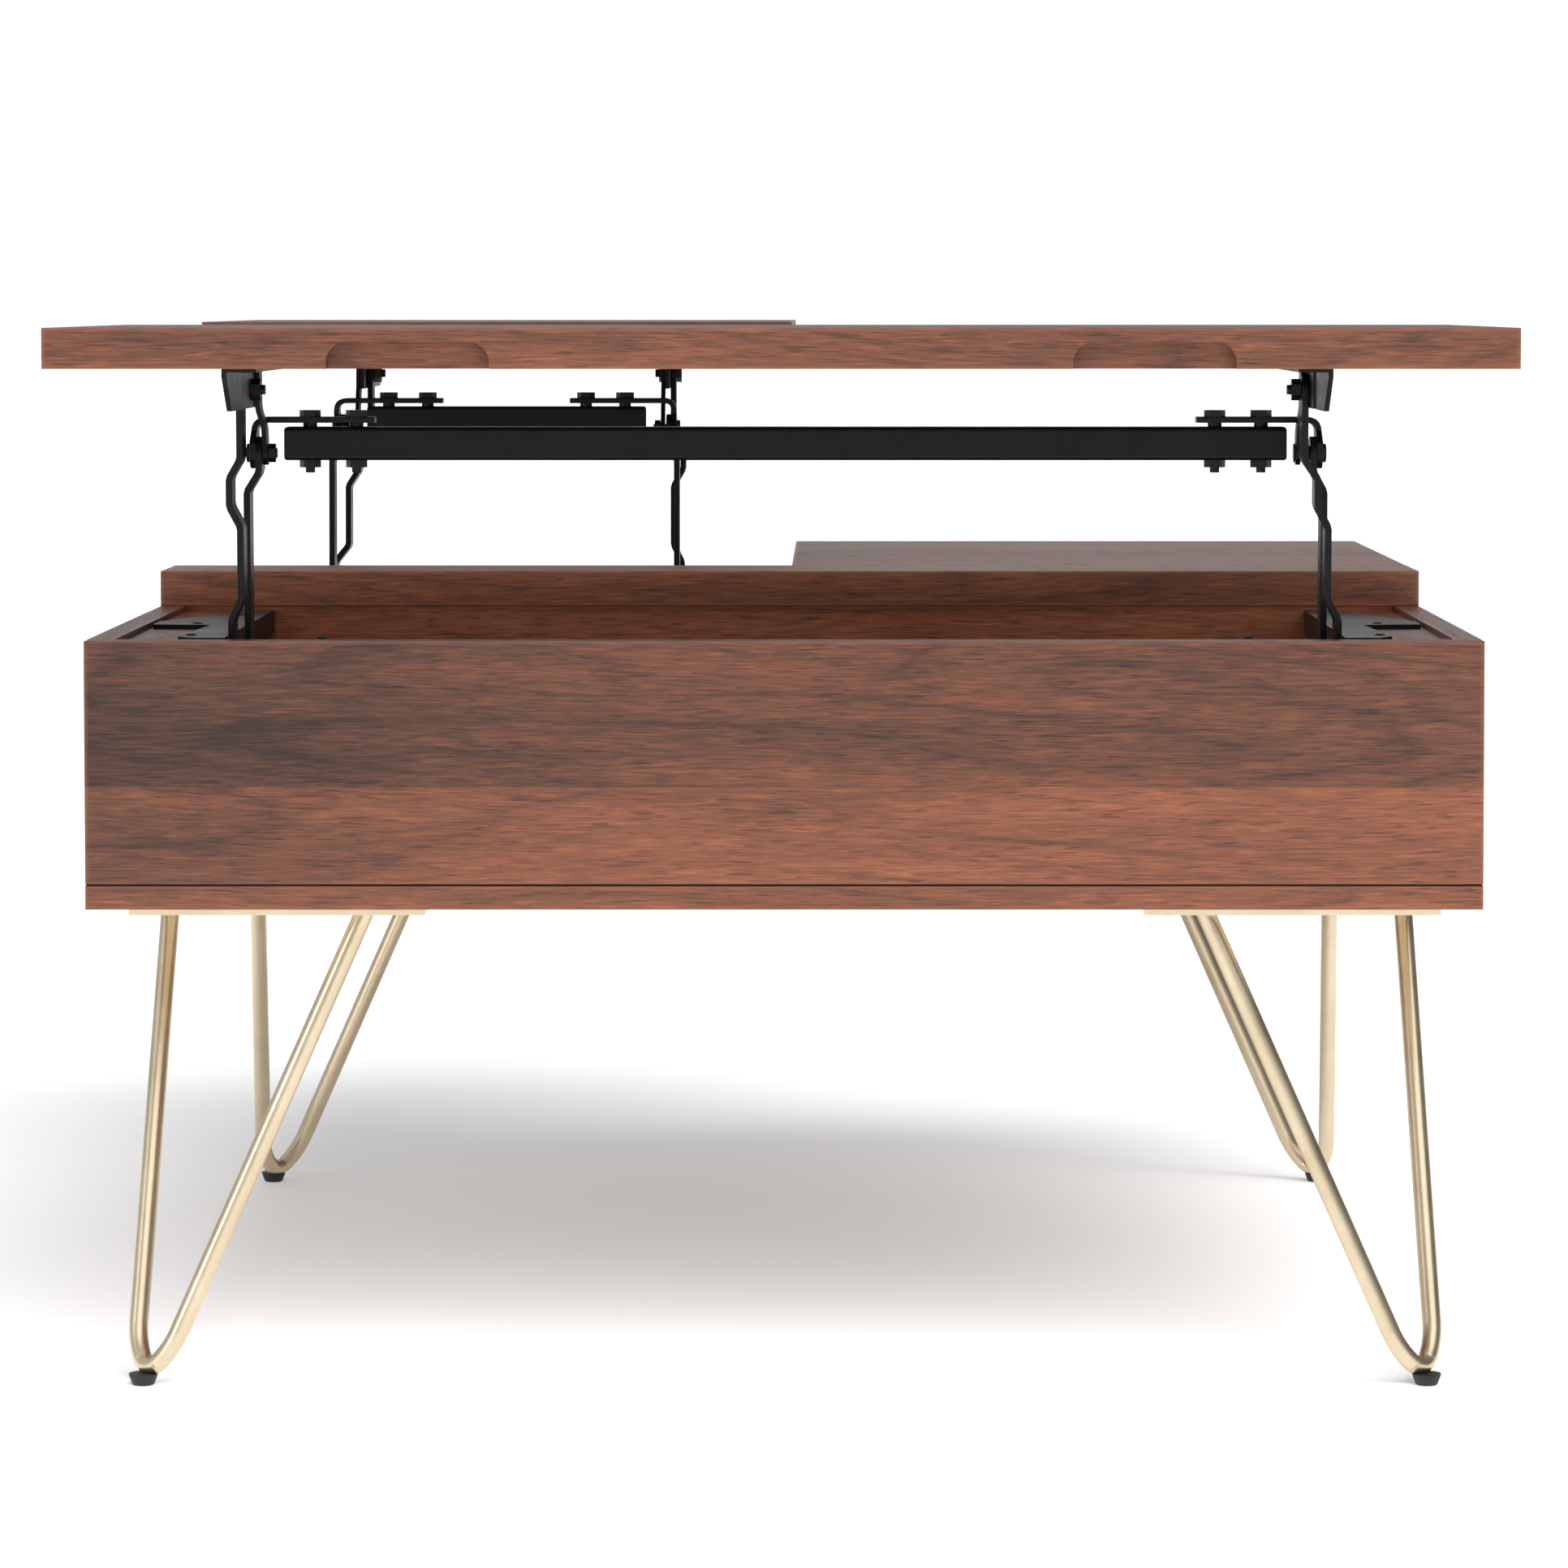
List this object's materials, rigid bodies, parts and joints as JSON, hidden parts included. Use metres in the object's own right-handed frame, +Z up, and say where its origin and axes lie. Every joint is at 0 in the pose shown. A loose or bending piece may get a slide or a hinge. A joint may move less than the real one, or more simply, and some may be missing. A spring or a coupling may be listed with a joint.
{
  "type": "lift top coffee table",
  "caption": "Square wooden lift top coffee table with two independently rising lids on parallel arms, inner storage and bent rod hairpin legs.",
  "frame": {"origin": "on the floor under the middle of the box", "axes": "X to the right, front of the table towards -Y, Z up, stored with both lids raised"},
  "size_m": [0.914, 1.2786, 0.7004],
  "materials": {
    "wood": "satin stained hardwood",
    "black_steel": "fine satin black powder coat",
    "champagne_steel": "satin champagne plated steel",
    "black_rubber": "matt"
  },
  "bodies": {
    "table": {"front_panel": "wood", "back_panel": "wood", "left_panel": "wood", "right_panel": "wood", "bottom_board": "wood", "front_divider": "wood", "rear_divider": "wood", "centre_divider": "wood", "centre_strip": "wood", "fixed_top_panel": "wood", "front_left_rail": "wood", "front_right_rail": "wood", "rear_outer_rail": "wood", "rear_inner_rail": "wood", "leg_rod_front_left": "champagne_steel", "leg_rod_front_right": "champagne_steel", "leg_rod_rear_left": "champagne_steel", "leg_rod_rear_right": "champagne_steel", "leg_plate_front_left": "champagne_steel", "leg_plate_front_right": "champagne_steel", "leg_plate_rear_left": "champagne_steel", "leg_plate_rear_right": "champagne_steel", "foot_caps": "black_rubber", "leg_screws": "champagne_steel", "lid_bumpers": "black_rubber", "base_screws": "black_steel", "front_base_left": "black_steel", "front_base_right": "black_steel", "front_studs": "black_steel", "rear_base_outer": "black_steel", "rear_base_inner": "black_steel", "rear_studs": "black_steel"},
    "front_lid_frame": {"front_lid": "wood", "front_lid_bracket_left": "black_steel", "front_lid_bracket_right": "black_steel", "front_lid_bolts": "black_steel", "front_lid_screws": "black_steel"},
    "rear_lid_frame": {"rear_lid": "wood", "rear_lid_bracket_outer": "black_steel", "rear_lid_bracket_inner": "black_steel", "rear_lid_bolts": "black_steel", "rear_lid_screws": "black_steel"},
    "front_lower_frame": {"front_lower_arm_left": "black_steel", "front_lower_arm_right": "black_steel", "front_tie_plate_left": "black_steel", "front_tie_plate_right": "black_steel", "front_crossbar": "black_steel", "front_crossbar_bolts": "black_steel", "front_link_bolts": "black_steel"},
    "rear_lower_frame": {"rear_lower_arm_outer": "black_steel", "rear_lower_arm_inner": "black_steel", "rear_tie_plates": "black_steel", "rear_crossbar": "black_steel", "rear_crossbar_bolts": "black_steel", "rear_link_bolts": "black_steel"},
    "front_arm_left": {"front_upper_arm_left": "black_steel"},
    "front_arm_right": {"front_upper_arm_right": "black_steel"},
    "rear_arm_outer": {"rear_upper_arm_outer": "black_steel"},
    "rear_arm_inner": {"rear_upper_arm_inner": "black_steel"}
  },
  "joints": [
    {"name": "front_lift", "type": "hinge", "parent": "table", "child": "front_arm_left", "pos_m": [-0.3658, -0.397, 0.48197], "axis": [-1, 0, 0], "range_deg": [0, 92.8]},
    {"name": "front_lid_level", "type": "hinge", "parent": "front_arm_left", "child": "front_lid_frame", "pos_m": [-0.3594, -0.40285, 0.65838], "axis": [-1, 0, 0], "range_deg": [-92.8, 0]},
    {"name": "front_arm_right_turn", "type": "hinge", "parent": "table", "child": "front_arm_right", "pos_m": [0.3659, -0.397, 0.48197], "axis": [-1, 0, 0], "range_deg": [0, 92.8]},
    {"name": "front_lower_turn", "type": "hinge", "parent": "table", "child": "front_lower_frame", "pos_m": [0, -0.353, 0.43897], "axis": [-1, 0, 0], "range_deg": [0, 92.8]},
    {"name": "rear_lift", "type": "hinge", "parent": "table", "child": "rear_arm_outer", "pos_m": [-0.3694, 0.397, 0.48197], "axis": [1, 0, 0], "range_deg": [0, 92.8]},
    {"name": "rear_lid_level", "type": "hinge", "parent": "rear_arm_outer", "child": "rear_lid_frame", "pos_m": [-0.3408, 0.40285, 0.65838], "axis": [1, 0, 0], "range_deg": [-92.8, 0]},
    {"name": "rear_arm_inner_turn", "type": "hinge", "parent": "table", "child": "rear_arm_inner", "pos_m": [-0.0905, 0.397, 0.48197], "axis": [1, 0, 0], "range_deg": [0, 92.8]},
    {"name": "rear_lower_turn", "type": "hinge", "parent": "table", "child": "rear_lower_frame", "pos_m": [-0.229, 0.353, 0.43897], "axis": [1, 0, 0], "range_deg": [0, 92.8]}
  ],
  "couplings": [
    {"joint": "front_lid_level", "follows": "front_lift", "ratio": -1},
    {"joint": "front_arm_right_turn", "follows": "front_lift", "ratio": 1},
    {"joint": "front_lower_turn", "follows": "front_lift", "ratio": 1},
    {"joint": "rear_lid_level", "follows": "rear_lift", "ratio": -1},
    {"joint": "rear_arm_inner_turn", "follows": "rear_lift", "ratio": 1},
    {"joint": "rear_lower_turn", "follows": "rear_lift", "ratio": 1}
  ]
}
